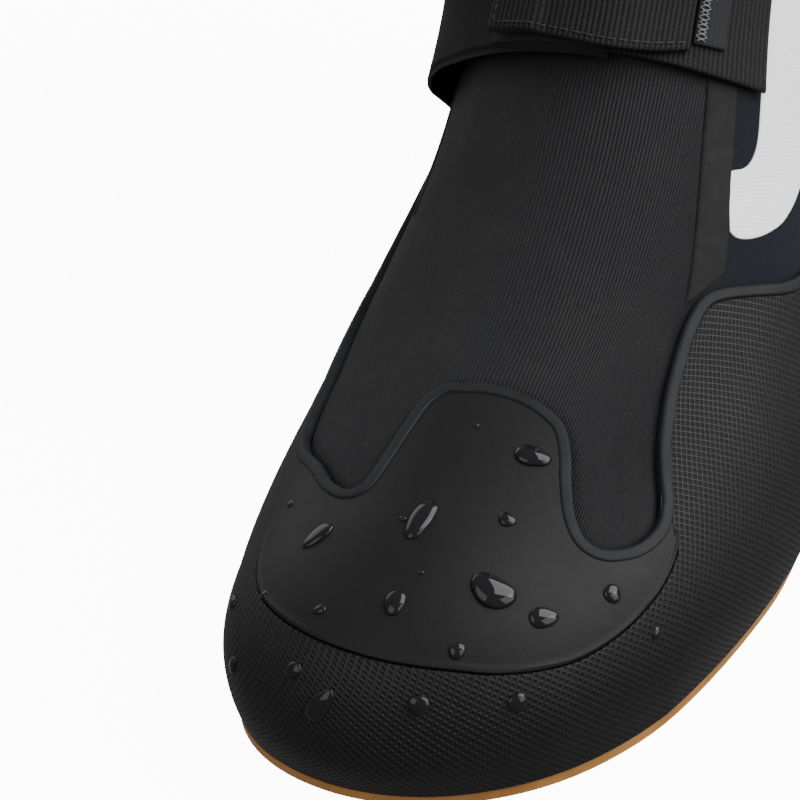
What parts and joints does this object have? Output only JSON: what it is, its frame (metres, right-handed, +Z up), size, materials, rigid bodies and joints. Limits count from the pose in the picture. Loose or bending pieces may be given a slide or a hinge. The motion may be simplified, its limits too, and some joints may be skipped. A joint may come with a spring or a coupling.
{
  "type": "neoprene boot",
  "caption": "Ankle-height neoprene water-sports boot with a waffle rubber rand, toe cap, gum sole and an instep strap that peels open.",
  "frame": {"origin": "on the ground under the middle of the boot's bounding box", "axes": "+Z up; +Y runs along the foot from toe to heel, so the toe points to -Y; +X is the outer (lateral) side of this left boot"},
  "size_m": [0.1066, 0.2932, 0.238],
  "materials": {
    "gum_rubber": "matte caramel gum rubber",
    "foam": "closed-cell EVA foam",
    "neoprene": "neoprene with jersey facing",
    "insole_foam": "footbed foam with knit cover",
    "vamp_neoprene": "finely ribbed neoprene skin",
    "knit_neoprene": "brushed knit neoprene, blue-black",
    "stiffener": "pressed fibre sheet",
    "waffle_rubber": "moulded waffle-textured rubber",
    "smooth_rubber": "smooth semi-matte rubber",
    "bead_rubber": "satin moulded rubber",
    "strip_rubber": "matte rubber tape",
    "contrast_fabric": "white knit with a fine mesh",
    "binding": "elastic knit binding",
    "webbing": "ribbed polyester webbing",
    "strap_neoprene": "elastic strap, smooth face",
    "loop_tape": "brushed loop tape",
    "hook_tape": "moulded hook tape",
    "thread": "grey polyester thread"
  },
  "bodies": {
    "boot": {"outsole": "gum_rubber", "midsole_foam": "foam", "sock_sole_panel": "neoprene", "insole": "insole_foam", "vamp_panel": "vamp_neoprene", "side_panel_lateral": "knit_neoprene", "side_panel_medial": "knit_neoprene", "back_panel": "vamp_neoprene", "heel_counter": "stiffener", "toe_stiffener": "stiffener", "rand": "waffle_rubber", "toe_cap": "smooth_rubber", "bead_trim": "bead_rubber", "heel_patch": "smooth_rubber", "vamp_strip_lateral": "strip_rubber", "vamp_strip_medial": "strip_rubber", "contrast_band": "contrast_fabric", "back_seam_tape": "strip_rubber", "collar_binding": "binding", "strap_base": "webbing", "strap_medial": "strap_neoprene", "strap_loop_tape": "loop_tape", "strap_patch": "webbing", "strap_zigzag_thread": "thread", "pull_loop_anchor": "webbing"},
    "flap": {"strap_flap": "webbing", "hook_tape": "hook_tape", "flap_edge_thread": "thread"},
    "heel_loop": {"pull_loop": "webbing"}
  },
  "joints": [
    {"name": "flap_peel", "type": "hinge", "parent": "boot", "child": "flap", "pos_m": [0.01337, -0.0009, 0.08684], "axis": [0.0529, 0.6736, 0.7372], "range_deg": [0, 110]},
    {"name": "heel_loop_swing", "type": "hinge", "parent": "boot", "child": "heel_loop", "pos_m": [-0.00506, 0.13858, 0.21123], "axis": [1, 0, 0], "range_deg": [0, 49]}
  ]
}
